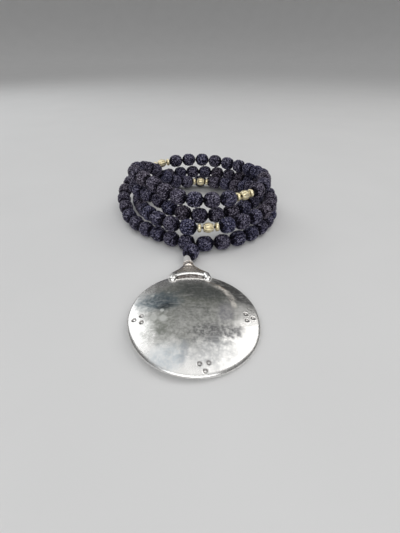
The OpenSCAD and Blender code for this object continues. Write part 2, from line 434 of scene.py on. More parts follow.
def seed_material():
    """Near-black seeds with a violet cast: worn paler on the tops of their knobs, partly as a painted
    sparkle, dark in the pits partly as painted shade, and darker towards their ends with painted shade
    where they meet.
    """
    material, tree = new_material("Black rough seed")
    at = object_place(tree)
    knob, tone, ends = (attribute(tree, name) for name in ("knob", "tone", "ends"))
    cells = tree.add("ShaderNodeTexVoronoi", {"Vector": at, "Scale": 1 / 0.62}).outputs["Distance"]
    speck = tree.plus(tree.remap(cells, 0.15, 0.62, 0.75, -0.15), tree.grain(at, 0.4, 3.0, 0.6))
    top = tree.blend(tone, rgb(0.085, 0.088, 0.190), rgb(0.150, 0.125, 0.175))
    pit = rgb(0.004, 0.0035, 0.007)
    height = tree.plus(tree.times(tree.minus(speck, 0.80), 0.80),
                       tree.math("MULTIPLY_ADD", knob, 0.72, 0.24))
    # Lowering the height towards the seed's ends paints shade where it meets its neighbours.
    height = tree.minus(height, tree.times(ends, 0.55))
    # The colour runs from near-black in the pits, partly painted shade, up to the tops.
    colour = tree.blend(tree.remap(height, -0.05, 0.75), pit, top)
    # The pale worn tops are partly wear and partly a painted sparkle.
    worn = tree.blend(tree.remap(height, 0.60, 1.08), colour, rgb(0.42, 0.40, 0.49))
    tree.feed("Base Color", worn)
    tree.feed("Roughness", tree.remap(height, 0.1, 0.8, 0.62, 0.30))
    tree.feed("Specular IOR Level", tree.remap(height, 0.1, 0.8, 0.06, 0.6))
    bump(tree, tree.plus(speck, tree.grain(at, 0.18, 2.0)), 0.12)
    return material


def thread_material():
    """Dark twisted cotton, a little waxed."""
    material, tree = new_material("Dark twisted thread")
    at = object_place(tree)
    fibre = tree.grain(at, 0.12, 3.0, 0.7)
    colour = tree.blend(fibre, rgb(0.008, 0.007, 0.008), rgb(0.045, 0.036, 0.034))
    tree.feed("Base Color", colour)
    tree.feed("Roughness", tree.remap(fibre, 0.3, 0.7, 0.75, 0.55))
    bump(tree, fibre, 0.06)
    return material


def marker_material(scratches):
    """Pale gold metal of the marker barrels and rings, with brown painted shade in their grooves."""
    material, tree = new_material("Pale gold marker metal")
    at = object_place(tree)
    hollow = attribute(tree, "hollow")
    cloud = tree.grain(at, 1.4, 4.0, 0.6)
    metal = tree.blend(tree.remap(cloud, 0.35, 0.65), rgb(0.96, 0.82, 0.50), rgb(1.0, 0.93, 0.68))
    # Painted shade in the grooves and by the collars, tinted brown, which also dulls and roughens the
    # metal there.
    hollow_shade = tree.times(hollow, tree.remap(cloud, 0.25, 0.6, 0.5, 0.9))
    tree.feed("Base Color", tree.blend(hollow_shade, metal, rgb(0.14, 0.085, 0.035)))
    tree.feed("Metallic", tree.remap(hollow_shade, 0, 1, 0.86, 0.5))
    mark = scratched(tree, scratches, at, 0.35)
    rough = tree.plus(tree.remap(cloud, 0.3, 0.7, 0.26, 0.38), tree.times(hollow_shade, 0.3))
    tree.feed("Roughness", tree.plus(rough, tree.times(mark, 0.08)))
    bump(tree, tree.minus(tree.grain(at, 0.5, 3.0), tree.times(mark, 0.3)), 0.03)
    return material


STAINS = (
    # Centre across and towards the bail, turn, half length, half width, softness, raggedness,
    # strength, patchiness, then the colour that the metal is stained to
    (-1.2, 1.6, 0.0, 18.8, 18.0, 0.28, 1.0, 0.88, 0.5, (0.23, 0.235, 0.215)),  # grey toning
    (1.5, 12.5, 0.0, 18.5, 8.0, 0.35, 0.9, 0.74, 0.6, (0.19, 0.20, 0.17)),  # green-grey upper toning
    (5.0, 14.2, -0.12, 12.5, 5.8, 0.5, 1.1, 0.80, 0.6, (0.10, 0.11, 0.11)),  # dark upper band
    (19.3, 14.3, -0.86, 13.5, 4.7, 0.35, 0.7, 1.0, 0.35, (0.09, 0.09, 0.09)),  # dark outer band
    (-14.6, 8.8, -0.05, 8.8, 5.6, 0.45, 1.3, 0.90, 0.7, (0.14, 0.19, 0.22)),  # blue-green patch
    (-14.0, 8.2, 0.0, 5.6, 3.6, 0.6, 1.6, 0.66, 1.0, (0.07, 0.09, 0.11)),  # dark of the patch
    (-12.1, 5.0, 0.3, 3.4, 1.7, 0.45, 1.0, 0.92, 0.5, (0.02, 0.03, 0.04)),  # darkest of the patch
    (-6.6, 13.0, 0.5, 3.6, 1.2, 0.6, 1.2, 0.50, 1.0, (0.12, 0.14, 0.15)),  # branch of the patch
    (4.8, -9.8, 0.1, 6.6, 5.0, 0.6, 1.8, 0.90, 1.2, (0.10, 0.10, 0.11)),  # mottled front
    (5.6, -13.0, 0.0, 2.6, 1.5, 0.5, 1.2, 0.85, 0.8, (0.06, 0.06, 0.07)),  # darkest of the mottling
    (13.0, -9.6, 0.1, 5.0, 3.8, 0.6, 1.8, 0.86, 1.1, (0.12, 0.12, 0.13)),  # mottled right
    (12.8, 0.6, 1.3, 5.4, 3.2, 0.5, 1.1, 0.55, 0.7, (0.24, 0.23, 0.28)),  # lavender patch
    (-5.7, -18.0, 1.4, 4.5, 1.4, 0.6, 1.0, 0.50, 0.8, (0.34, 0.35, 0.40)),  # front streak
    (-13.8, -3.0, 0.9, 8.0, 4.8, 0.6, 1.8, 0.60, 0.9, (0.22, 0.23, 0.20)),  # left mottling
    (-12.6, -20.0, 0.5, 7.5, 5.0, 0.6, 1.0, 0.60, 0.8, (0.44, 0.52, 0.58)),  # bluish edge
    (5.2, -18.4, 0.0, 9.0, 6.0, 0.6, 1.2, 0.72, 0.8, (0.38, 0.39, 0.40)),  # grey front edge
)
RINGS = (
    # Centre, radius and half width of a ring, then the centre, half length, half width and turn of
    # the patch of it that shows, strength and colour
    (3.5, 6.0, 14.0, 1.25, 14.6, 11.6, 8.5, 4.2, -0.95, 1.00, (1.00, 0.95, 0.88)),  # pale arc
    # The brown line is a painted highlight.
    (0.0, 0.0, 22.1, 0.28, 12.0, 18.4, 5.0, 1.4, -0.55, 0.7, (0.72, 0.56, 0.42)),  # brown line
    (-13.8, -7.4, 2.7, 0.7, -13.8, -7.4, 4.0, 4.0, 0.0, 0.60, (0.16, 0.17, 0.15)),  # left swirl
    (1.4, 0.8, 5.0, 0.7, 3.0, 2.0, 6.0, 5.0, 0.0, 0.5, (0.12, 0.13, 0.12)),  # middle swirl
)
# Centre, radius and strength of small bright places
PALE_SPOTS = ((-17.3, 12.2, 0.8, 0.6), (-13.4, 2.9, 0.8, 0.7), (-13.0, -1.5, 1.7, 0.5),
              (-16.7, -0.6, 1.5, 0.4), (-10.4, 13.6, 0.6, 0.5))


def silver_colour(tree, at, face, stains, colour, mottle):
    """The bare metal's colour with its stains, rings and pale spots laid over, and how dull it is."""
    def laid(under, mask, strength, patchy, tint):
        even = tree.math("MULTIPLY_ADD", mottle, patchy, 1 - patchy)
        amount = tree.times(tree.times(mask, strength), tree.times(even, face))
        return tree.blend(amount, under, rgb(*tint)), amount

    dull = None
    for x, y, turn, half_long, half_wide, soft, ragged, strength, patchy, tint in STAINS:
        mask = stained(tree, stains, at, (x, y), half_long, half_wide, turn, soft, ragged)
        colour, amount = laid(colour, mask, strength, patchy, tint)
        dull = amount if dull is None else tree.math("MAXIMUM", dull, amount)
    wander = tree.times(tree.minus(tree.grain(at, 2.6, 3.0), 0.5), 2.2)
    for x, y, radius, half_width, spot_x, spot_y, half_long, half_wide, turn, strength, tint in RINGS:
        away = tree.add("ShaderNodeVectorMath", {0: at, 1: (x, y, 0)}, operation="DISTANCE")
        reach = away.outputs["Value"]
        off = tree.math("ABSOLUTE", tree.plus(tree.minus(reach, radius), wander))
        patch = stained(tree, stains, at, (spot_x, spot_y), half_long, half_wide, turn, 0.3, 0.6)
        band = tree.times(tree.remap(off, 0.3 * half_width, 1.5 * half_width, 1.0, 0.0), patch)
        colour, _ = laid(colour, band, strength, 0.8, tint)
    for x, y, radius, strength in PALE_SPOTS:
        spot = stained(tree, stains, at, (x, y), radius, radius, 0.0, 0.4, 0.6)
        colour, _ = laid(colour, spot, strength, 0.6, (0.90, 0.91, 0.88))
    return colour, dull


def silver_material(stains, scratches):
    """Old silver: worn bright at the sides and the front, toned and stained in the middle, with
    painted shade in its hollows.
    """
    material, tree = new_material("Old worn silver")
    at = attribute(tree, "face_at", "Vector")
    names = ("face", "hollow", "matt", "warm")
    face, hollow, matt, warm = (attribute(tree, name) for name in names)
    cloud = tree.grain(at, 6.0, 6.0, 0.62)
    fine = tree.grain(at, 1.1, 5.0, 0.65)
    bent = tree.bent(at, at, 0.3, 1.6)
    blotch = tree.grain(bent, 1.9, 5.0, 0.66)
    patchy = tree.plus(tree.times(blotch, 0.6), tree.times(fine, 0.4))
    mottle = tree.remap(patchy, 0.38, 0.60, 0.30, 1.0)
    bare = tree.blend(tree.remap(cloud, 0.3, 0.7), rgb(0.84, 0.83, 0.81), rgb(0.95, 0.94, 0.92))
    colour, dull = silver_colour(tree, at, face, stains, bare, mottle)
    speckle = tree.remap(tree.grain(at, 0.7, 4.0, 0.6), 0.4, 0.62)
    browned = tree.blend(speckle, rgb(0.90, 0.84, 0.78), rgb(0.46, 0.38, 0.30))
    colour = tree.blend(tree.times(warm, 0.85), colour, browned)
    through = tree.times(scratched(tree, scratches, bent, 1.7), tree.times(dull, 0.4))
    colour = tree.blend(through, colour, rgb(0.72, 0.71, 0.69))
    # Painted shade in the hollows: the punched dots, the slit before the bail's bar and the ring round
    # the neck's foot; it also lowers the shine there.
    hollow_shade = tree.times(hollow, tree.remap(fine, 0.3, 0.6, 0.7, 1.0))
    colour = tree.blend(tree.times(hollow_shade, 0.95), colour, rgb(0.075, 0.055, 0.05))
    tree.feed("Specular IOR Level", tree.remap(hollow_shade, 0, 1, 0.5, 0.1))
    tree.feed("Base Color", colour)
    tarnish_and_shade = tree.math("MAXIMUM", tree.math("MAXIMUM", dull, hollow_shade), tree.times(matt, 1.6))
    tree.feed("Metallic", tree.remap(tarnish_and_shade, 0.2, 1.6, 1.0, 0.3, False))
    mark = scratched(tree, scratches, at, 0.5)
    rough = tree.plus(tree.remap(cloud, 0.3, 0.7, 0.22, 0.30), tree.times(dull, 0.16))
    rough = tree.math("MULTIPLY_ADD", matt, 0.15, rough)
    tree.feed("Roughness", tree.plus(rough, tree.times(mark, 0.04)))
    height = tree.plus(tree.times(fine, 0.6), tree.times(blotch, 0.5))
    bump(tree, tree.minus(height, tree.times(mark, 0.22)), 0.035)
    return material


def floor_material():
    """Plain pale paper."""
    material, tree = new_material("Pale paper floor")
    at = object_place(tree)
    colour = tree.blend(tree.grain(at, 60.0, 2.0), grey(0.74), grey(0.78))
    tree.feed("Base Color", colour)
    tree.feed("Roughness", 0.9)
    tree.feed("Specular IOR Level", 0.2)
    return material


# The string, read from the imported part


class Strung:
    """One drilled piece on the string: its middle, the direction of its bore, half its length, the
    gap before it, and the smaller of the gaps at its two ends."""

    def __init__(self, at, axis, half, node):
        self.at, self.axis, self.half, self.node = at, axis, half, node
        self.gap = self.spare = 0.0


def loose_parts(obj):
    """The loose solids of a CAD node, each as its points and its edges' ends, in millimetres."""
    work = bmesh.new()
    work.from_mesh(obj.data)
    bmesh.ops.remove_doubles(work, verts=work.verts, dist=0.002 * MM)
    seen, parts = set(), []
    for first in work.verts:
        if first in seen:
            continue
        seen.add(first)
        heap, members = [first], []
        while heap:
            vert = heap.pop()
            members.append(vert)
            for edge in vert.link_edges:
                other = edge.other_vert(vert)
                if other not in seen:
                    seen.add(other)
                    heap.append(other)
        edges = dict.fromkeys(edge for vert in members for edge in vert.link_edges)
        ends = [(e.verts[0].co / MM, e.verts[1].co / MM) for e in edges]
        parts.append(([v.co / MM for v in members], ends))
    work.free()
    return parts


def middle(points):
    """The middle of the box round some points."""
    return Vector([(min(p[k] for p in points) + max(p[k] for p in points)) / 2 for k in range(3)])


def drilled(part, node):
    """A drilled solid, whose longest edges, all nearly equal, run along its bore."""
    points, edges = part
    longest = max((b - a).length for a, b in edges)
    along = [b - a for a, b in edges if (b - a).length > 0.98 * longest]
    axis = Vector()
    for edge in along:
        axis += edge if edge.dot(along[0]) > 0 else -edge
    axis.normalize()
    return Strung(middle(points), axis, longest / 2, node)


def marker_pieces(frame):
    """The rings and barrels of the four marker sets, with the direction from ring to ring."""
    pieces = []
    halves = (RING_HALF, BARREL_HALF, RING_HALF)
    for name in SET_NAMES:
        nodes = [name + "_first_ring", name + "_barrel", name + "_second_ring"]
        places = [middle([v.co / MM for v in frame["nodes"][node].data.vertices]) for node in nodes]
        for node, at, before, after, half in zip(nodes, places, (0, 0, 1), (1, 2, 2), halves):
            pieces.append(Strung(at, (places[after] - places[before]).normalized(), half, node))
    return pieces


def in_order(pieces, start):
    """The pieces in the order in which the thread takes them, their axes pointing on along it."""
    left, here, order = list(pieces), start, []
    while left:
        gap, nearest, way = min(((p.at - way * p.half * p.axis - here).length, k, way)
                                for k, p in enumerate(left) for way in (1, -1))
        piece = left.pop(nearest)
        piece.axis = way * piece.axis
        piece.gap = gap
        order.append(piece)
        here = piece.at + piece.half * piece.axis
    order[0].gap = (here - (order[0].at - order[0].half * order[0].axis)).length
    return order


# The seeds


def seed_blank():
    """One smooth drilled seed along Z, for the tree that roughens it and sets it on the string."""
    lip = asin((LIP_R / SEED_R) ** (SEED_SQUARE / 2))
    rows = 40
    rings = [level_ring(MOUTH_R, z, 24) for z in (-0.92 * SEED_R, 0.92 * SEED_R)]
    for k in range(rows + 1):
        angle = lip + (pi - 2 * lip) * k / rows
        r = SEED_R * sin(angle) ** (2 / SEED_SQUARE)
        z = SEED_R * signed_power(cos(angle), 2 / SEED_SQUARE)
        rings.append(level_ring(r, z, circle_count(r, 0.44 if r < 3.3 else 0.34)))
    points, faces = stitch(rings, closed=True)
    mesh = closed_mesh("seed_blank", points, faces)
    place_attribute(mesh, "at", points)
    skin = [smooth_step(1.0, 2.0, hypot(p[0], p[1]) / LIP_R) for p in points]
    value_attribute(mesh, "skin", skin)
    # ends: how near a point is to the seed's ends, where the seed material paints shade between
    # neighbouring seeds.
    value_attribute(mesh, "ends", [smooth_step(0.62, 0.97, abs(p[2]) / SEED_R) for p in points])
    return new_object("seed_blank", mesh)


def geometry_tree(name, inputs):
    """A Geometry Nodes group with those inputs besides the geometry."""
    geometry = ("Geometry", "Geometry")
    return group_tree("GeometryNodeTree", name, (geometry, *inputs), geometry)


def named(tree, name, kind="FLOAT"):
    """A stored attribute, read in a Geometry Nodes tree."""
    return tree.out("GeometryNodeInputNamedAttribute", {"Name": name}, data_type=kind)


def end_tree(tree, out, geometry, material):
    """Gives the geometry its material and sends it out."""
    inputs = {"Geometry": geometry, "Material": material}
    tree.set(out, 0, tree.out("GeometryNodeSetMaterial", inputs))
    return tree.tree


def seeds_tree():
    """Sets a blank on each point of the string, then cuts knobs, pits and five ribs into each."""
    tree, given, out = geometry_tree("Rough seeds on a thread", (
        ("Blank", "Object"), ("Knob Size", "Float"), ("Pit Depth", "Float"), ("Groove Depth", "Float"),
        ("Lump Depth", "Float"), ("Material", "Material")))
    blank = tree.add("GeometryNodeObjectInfo", {"Object": given["Blank"]}).outputs["Geometry"]
    turn = tree.out("FunctionNodeEulerToRotation", {0: named(tree, "turn", "FLOAT_VECTOR")})
    strung = tree.out("GeometryNodeInstanceOnPoints", {
        "Points": given["Geometry"], "Instance": blank, "Rotation": turn,
        "Scale": named(tree, "girth", "FLOAT_VECTOR")})
    seeds = tree.out("GeometryNodeRealizeInstances", {0: strung})

    at, own, skin = named(tree, "at", "FLOAT_VECTOR"), named(tree, "own"), named(tree, "skin")
    apart = tree.out("ShaderNodeCombineXYZ", {0: own, 1: own, 2: own})
    moved = tree.vector("ADD", at, tree.vector("MULTIPLY", apart, (37.0, 91.0, 53.0)))
    bent = tree.bent(moved, moved, 0.9, 1.1, 1.0)
    knob_scale = tree.math("DIVIDE", 1, given["Knob Size"])
    cells = tree.add("ShaderNodeTexVoronoi", {"Vector": bent, "Scale": knob_scale}).outputs
    reach = tree.math("DIVIDE", cells["Distance"], 0.66)
    dome = tree.math("MAXIMUM", tree.minus(1, tree.math("POWER", reach, 3)), 0)
    tall = tree.remap(tree.split(cells["Color"])[0], 0, 1, 0.6, 1, False)
    parts = tree.split(at)
    wander = tree.times(tree.minus(tree.grain(moved, 2.2, 1.0), 0.5), 0.9)
    angle = tree.plus(tree.math("ARCTAN2", parts[1], parts[0]), wander)
    rib = tree.math("ABSOLUTE", tree.math("SINE", tree.times(angle, 2.5)))
    groove = tree.remap(rib, 0.0, 0.22, 1.0, 0.0)
    knob = tree.times(tree.times(dome, tall), tree.remap(groove, 0, 1, 1.0, 0.6, False))
    lump = tree.times(tree.grain(moved, 3.0, 1.0), given["Lump Depth"])
    grooves = tree.times(groove, given["Groove Depth"])
    pits = tree.times(tree.minus(1, knob), given["Pit Depth"])
    drop = tree.plus(lump, tree.plus(grooves, pits))
    seeds = tree.out("GeometryNodeStoreNamedAttribute", {
        "Geometry": seeds, "Name": "knob", "Value": knob})
    push = tree.scaled(tree.out("GeometryNodeInputNormal"),
                       tree.times(tree.times(drop, skin), -MM))
    rough = tree.out("GeometryNodeSetPosition", {"Geometry": seeds, "Offset": push})
    return end_tree(tree, out, rough, given["Material"])


def add_tree(obj, group, values):
    """A Geometry Nodes modifier, with each input set by its own identifier."""
    modifier = obj.modifiers.new(group.name, "NODES")
    modifier.node_group = group
    for item in group.interface.items_tree:
        if item.in_out == "INPUT" and item.name in values:
            modifier[item.identifier] = values[item.name]


def seeds_piece(name, pieces, spins, tree, values):
    """The seeds of one turn, as one mesh. Their reach along the thread nearly closes the gaps."""
    mesh = bpy.data.meshes.new(name)
    mesh.from_pydata([p.at * MM for p in pieces], [], [])
    turns, girths = [], []
    for piece, (spin, girth, _, _) in zip(pieces, spins):
        quat = piece.axis.to_track_quat("Z", "Y")
        turns.append((quat.to_matrix() @ Matrix.Rotation(spin, 3, "Z")).to_euler())
        reach = 1 + min(0.05, max(0.0, piece.spare - 0.24) / (2 * piece.half))
        girths.append((girth * MM, girth * MM, reach * MM))
    place_attribute(mesh, "turn", turns)
    place_attribute(mesh, "girth", girths)
    value_attribute(mesh, "own", [own for _, _, own, _ in spins])
    value_attribute(mesh, "tone", [tone for _, _, _, tone in spins])
    work = new_object(name + "_points", mesh)
    add_tree(work, tree, values)
    baked = evaluated_mesh(work)
    bpy.data.objects.remove(work)
    return new_object(name, baked)


def seed_spins(count):
    """For each seed: its turn about the thread, girth, pattern and tone, the same on every run."""
    noise.seed_set(RANDOM_SEED)
    return [(noise.random() * 2 * pi, 1 - 0.02 * noise.random(), noise.random(), noise.random())
            for _ in range(count)]


def make_seeds(order, guru, material):
    """The four turns of seeds and the guru seed, in place of the smooth CAD ones."""
    tree = seeds_tree()
    blank = seed_blank()
    values = {"Blank": blank, "Knob Size": 1.08, "Pit Depth": 0.55, "Groove Depth": 0.26,
              "Lump Depth": 0.12, "Material": material}
    seeds = [p for p in order if p.node == "bead_string"]
    for k, piece in enumerate(order):
        piece.spare = min(piece.gap, order[(k + 1) % len(order)].gap)
    spins = seed_spins(len(seeds) + 1)
    for k, turn in enumerate(TURN_NAMES):
        few = slice(k * SEEDS_PER_TURN, (k + 1) * SEEDS_PER_TURN)
        obj = seeds_piece(turn + "_turn_seeds", seeds[few], spins[few], tree, values)
        finish_piece(obj, ["bead_string"])
    obj = seeds_piece("guru_seed", [guru], spins[-1:], tree, values)
    finish_piece(obj, ["guru_bead"])
    bpy.data.objects.remove(blank)


# The thread


def thread_tree():
    """Sweeps a twisted section of three plies along the thread's way."""
    tree, given, out = geometry_tree("Twisted thread", (
        ("Step", "Float"), ("Pitch", "Float"), ("Radius", "Float"), ("Material", "Material")))
    curve = tree.out("GeometryNodeMeshToCurve", {0: given["Geometry"]})
    even = tree.out("GeometryNodeResampleCurve", {"Curve": curve, "Length": given["Step"]},
                    mode="LENGTH")
    length = tree.add("GeometryNodeSplineParameter").outputs["Length"]
    tilt = tree.times(tree.math("DIVIDE", length, given["Pitch"]), 2 * pi)
    twisted = tree.out("GeometryNodeSetCurveTilt", {"Curve": even, "Tilt": tilt})
    section = tree.out("GeometryNodeCurvePrimitiveCircle", {
        "Resolution": THREAD_SIDES, "Radius": 1.0})
    angle = tree.times(tree.out("GeometryNodeInputIndex"), 2 * pi / THREAD_SIDES)
    lobe = tree.math("ABSOLUTE", tree.math("COSINE", tree.times(angle, 1.5)))
    r = tree.times(tree.remap(lobe, 0, 1, 0.7, 1.0, False), given["Radius"])
    lobes = tree.out("GeometryNodeSetPosition", {"Geometry": section, "Position": tree.scaled(
        tree.out("GeometryNodeInputPosition"), r)})
    swept = tree.out("GeometryNodeCurveToMesh", {"Curve": twisted, "Profile Curve": lobes,
                                                 "Fill Caps": True})
    return end_tree(tree, out, swept, given["Material"])


def neck_point(distance):
    """A point along the bail's neck, in the melong's own millimetres."""
    return NECK_ROOT + distance * Vector((0, cos(NECK_DIP), -sin(NECK_DIP)))


def make_thread(order, guru, material):
    """The thread through the whole string, and its end through the guru seed into the bail's neck."""
    loop = []
    for piece in order:
        loop += [piece.at - piece.half * piece.axis, piece.at + piece.half * piece.axis]
    junction = (loop[0] + loop[-1]) / 2
    lie = melong_place()
    mouth, inside = lie @ neck_point(NECK_LEN), lie @ neck_point(NECK_LEN - STEM_INSIDE)
    through = sorted((guru.at + way * guru.half * guru.axis for way in (-1, 1)),
                     key=lambda end: (end - junction).length)
    stem = [junction, *through, mouth, inside]
    points = [p * MM for p in loop + stem]
    edges = [(k, (k + 1) % len(loop)) for k in range(len(loop))]
    edges += [(len(loop) + k, len(loop) + k + 1) for k in range(len(stem) - 1)]
    mesh = bpy.data.meshes.new("thread_way")
    mesh.from_pydata(points, edges, [])
    work = new_object("thread_way", mesh)
    add_tree(work, thread_tree(), {"Step": THREAD_STEP * MM, "Pitch": THREAD_PITCH * MM,
                                   "Radius": THREAD_D / 2 * MM, "Material": material})
    obj = new_object("twisted_thread", evaluated_mesh(work))
    bpy.data.objects.remove(work)
    finish_piece(obj, ["thread"])


# The marker barrels


def barrel_mesh(name, piece):
    """A drilled barrel with flutes like a melon's, a collar at each end, along its own axis."""
    rings, hollow = [], []
    for r, z in [(r, -z) for r, z in BARREL_PROFILE[:0:-1]] + list(BARREL_PROFILE):
        fluted = smooth_step(2.26, 2.0, abs(z))
        collar = smooth_step(2.17, 2.12, r) * (abs(z) < 2.4)
        ring = []
        for a in around(90):
            ridge = abs(cos(FLUTES * a / 2)) ** 0.55
            out = r - FLUTE_DEPTH * fluted * (1 - ridge)
            ring.append((out * cos(a), out * sin(a), z))
            # hollow: the grooves between the flutes and the collars, where the marker material paints
            # shade.
            hollow.append(max(fluted * smooth_step(0.75, 0.25, ridge), collar))
        rings.append(ring)
    points, faces = stitch(rings, closed=True)
    mesh = closed_mesh(name, points, faces)
    value_attribute(mesh, "hollow", hollow)
    mesh.transform(Matrix.Scale(MM, 4) @ along_axis(piece.at, piece.axis))
    return mesh


def make_markers(order, nodes, material):
    """Fluted barrels in place of the plainer CAD ones, and the metal's finish on the CAD rings."""
    for piece in order:
        if piece.node.endswith("_barrel"):
            name = piece.node.replace("_barrel", "_fluted_barrel")
            obj = new_object(name, barrel_mesh(name, piece))
            obj.data.materials.append(material)
            finish_piece(obj, [piece.node])
        elif piece.node.endswith("_ring"):
            nodes[piece.node].data.materials.clear()
            nodes[piece.node].data.materials.append(material)


# The melong


def melong_place():
    """From the disc's own millimetres to the part's: the disc leans on the floor at its near right."""
    lean = Matrix.Rotation(SLOPE_SIDE, 4, "Y") @ Matrix.Rotation(SLOPE_UP, 4, "X")
    height = RIM_T / 2 + RING_R * sin(acos(cos(SLOPE_UP) * cos(SLOPE_SIDE)))
    return Matrix.Translation((*DISC_XY, height)) @ lean @ Matrix.Rotation(BAIL_TURN, 4, "Z")


def dots():
    """The centres of the nine punched dots on the disc's face."""
    found = []
    for degrees, share in DOT_GROUPS:
        turn = Matrix.Rotation(radians(degrees), 2)
        for k in range(3):
            way = radians(120 * k)
            found.append(turn @ Vector((DOT_SPREAD * sin(way),
                                        share * DISC_R + DOT_SPREAD * cos(way))))
    return found


def unevenness(x, y):
    """How far beating and wear have moved the face at a point, in millimetres."""
    broad = noise.noise(Vector((x / 13, y / 13, 3.1)))
    middling = noise.noise(Vector((x / 5.5, y / 5.5, 8.7)))
    return 0.09 * broad + 0.022 * middling


def face_height(x, y, marks):
    """The face's height at a point, and how deep in a dot it is, from 0 to 1."""
    r = hypot(x, y)
    height = RIM_T / 2 + DOME_H * (1 - (r / RING_R) ** 2) + unevenness(x, y) * smooth_step(27, 20, r)
    sphere_r = (DOT_R ** 2 + DOT_DEPTH ** 2) / (2 * DOT_DEPTH)
    deep = 0.0
    for mark in marks:
        away = hypot(x - mark[0], y - mark[1])
        if away < DOT_R:
            sunk = sqrt(sphere_r ** 2 - away ** 2) - (sphere_r - DOT_DEPTH)
            height -= sunk
            deep = sunk / DOT_DEPTH
        elif away < 1.6 * DOT_R:
            height += 0.035 * sin(pi * (away - DOT_R) / (0.6 * DOT_R))
    return height, deep


def disc_rings():
    """Rings of points over the disc, from the middle of its face to the middle of its back. Each
    point has its place, how much it is darkened, and how much it belongs to the face."""
    marks = dots()
    inner = DISC_R - RIM_ROUND
    reach = inner + RIM_ROUND * cos(RIM_START)
    rings = []
    for k in range(FACE_STEPS + 1):
        r = reach * k / FACE_STEPS
        ring = []
        for x, y, _ in level_ring(r, 0, circle_count(r, 0.27, 40) if k else 1):
            height, deep = face_height(x, y, marks)
            # Painted shade round the wall of each punched dot.
            darkening = smooth_step(0.02, 0.35, deep) * smooth_step(1.0, 0.7, deep) * 0.8
            ring.append((x, y, height, darkening, 1.0))
        rings.append(ring)
    for k in range(1, RIM_STEPS + 1):
        turn = RIM_START - (RIM_START + pi / 2) * k / RIM_STEPS
        up = max(0.0, sin(turn))
        ring = []
        for a in around(640):
            wear = 0.10 * noise.noise(Vector((2.2 * cos(a), 2.2 * sin(a), 5.5))) - 0.05
            r = inner + wear + RIM_ROUND * cos(turn)
            height = (RIM_T / 2 + 0.11 * up) * sin(turn)
            ring.append((r * cos(a), r * sin(a), height, 0.0, up))
        rings.append(ring)
    for k in range(1, BACK_STEPS + 1):
        r = inner * (1 - k / BACK_STEPS)
        # A ring on the back near the rim is darkened too.
        darkening = smooth_step(23, 26, r) * smooth_step(26.4, 26, r) * 0.5
        dish = BACK_HOLLOW * (1 - (r / RING_R) ** 2) - RIM_T / 2
        count = circle_count(r, 0.52, 40) if k < BACK_STEPS else 1
        rings.append([(x, y, dish + unevenness(x + 40, y) * 1.3, darkening, 0.0)
                      for x, y, _ in level_ring(r, 0, count)])
    return rings


def disc_mesh():
    """The disc as one closed skin: domed face with its dots, rounded rim and hollow back."""
    rings = disc_rings()
    points, faces = stitch([[p[:3] for p in ring] for ring in rings])
    mesh = closed_mesh("silver_disc", points, faces)
    place_attribute(mesh, "face_at", points)
    value_attribute(mesh, "hollow", [p[3] for ring in rings for p in ring])
    value_attribute(mesh, "face", [p[4] for ring in rings for p in ring])
    return mesh


def blended(table, at):
    """The row of a table at a place between its rows, smoothly."""
    for low, high in zip(table, table[1:]):
        if at <= high[0]:
            t = smooth_step(low[0], high[0], at) * 0.5 + 0.5 * (at - low[0]) / (high[0] - low[0])
            return [a + (b - a) * t for a, b in zip(low, high)]
    return list(table[-1])


def shoulder_part():
    """The bail's shoulders: rounded sections that narrow from the rim's width to the neck's."""
    near, far = SHOULDERS[0][0], SHOULDERS[-1][0]
    rings = [[(0, near, SHOULDER_MIDDLE)]]
    for k in range(40):
        y, wide, top, low, square = blended(SHOULDERS, near + (far - near) * k / 39)
        half, mean = (top - low) / 2, (top + low) / 2
        rings.append([(wide * signed_power(cos(a), 2 / square), y,
                       half * signed_power(sin(a), 2 / square) + mean) for a in around(72)])
    rings.append([(0, far, SHOULDER_MIDDLE)])
    return stitch(rings)


def turned_part(profile, place):
    """A solid of revolution: radii along an axis, which then goes to its place."""
    return stitch([[place @ Vector(p) for p in level_ring(r, z, 48 if r else 1)] for r, z in profile])


def arc_part(radius, height, section_r, flat=1.0, rise=0.0):
    """A bar bent along the rim, with round ends, centred on the bail and raised in its middle."""
    rings = []
    steps, end_steps = 48, 4
    for k in range(-end_steps, steps + end_steps + 1):
        inside = min(max(k, 0), steps)
        turn = BAR_HALF_TURN * (1 - 2 * inside / steps)
        over = (k - inside) / end_steps
        r = section_r * sqrt(max(0, 1 - over * over))
        push = section_r * over
        ring = []
        for a in around(24) if r > 0.001 else [0]:
            out = radius + r * cos(a)
            x = -out * sin(turn) + push * cos(turn)
            y = out * cos(turn) + push * sin(turn)
            arch = rise * (1 - (turn / BAR_HALF_TURN) ** 2)
            ring.append((x, y, height + arch + flat * r * sin(a)))
        rings.append(ring)
    return stitch(rings)


def capsule_part(start, way, length, radius):
    """A rod with round ends."""
    angles = [pi / 2 * k / 8 for k in range(9)]
    profile = [(radius * sin(a), -radius * cos(a)) for a in angles]
    profile += [(radius * cos(a), length + radius * sin(a)) for a in angles]
    profile[0], profile[-1] = (0, -radius), (0, length + radius)
    return turned_part(profile, along_axis(start, way))


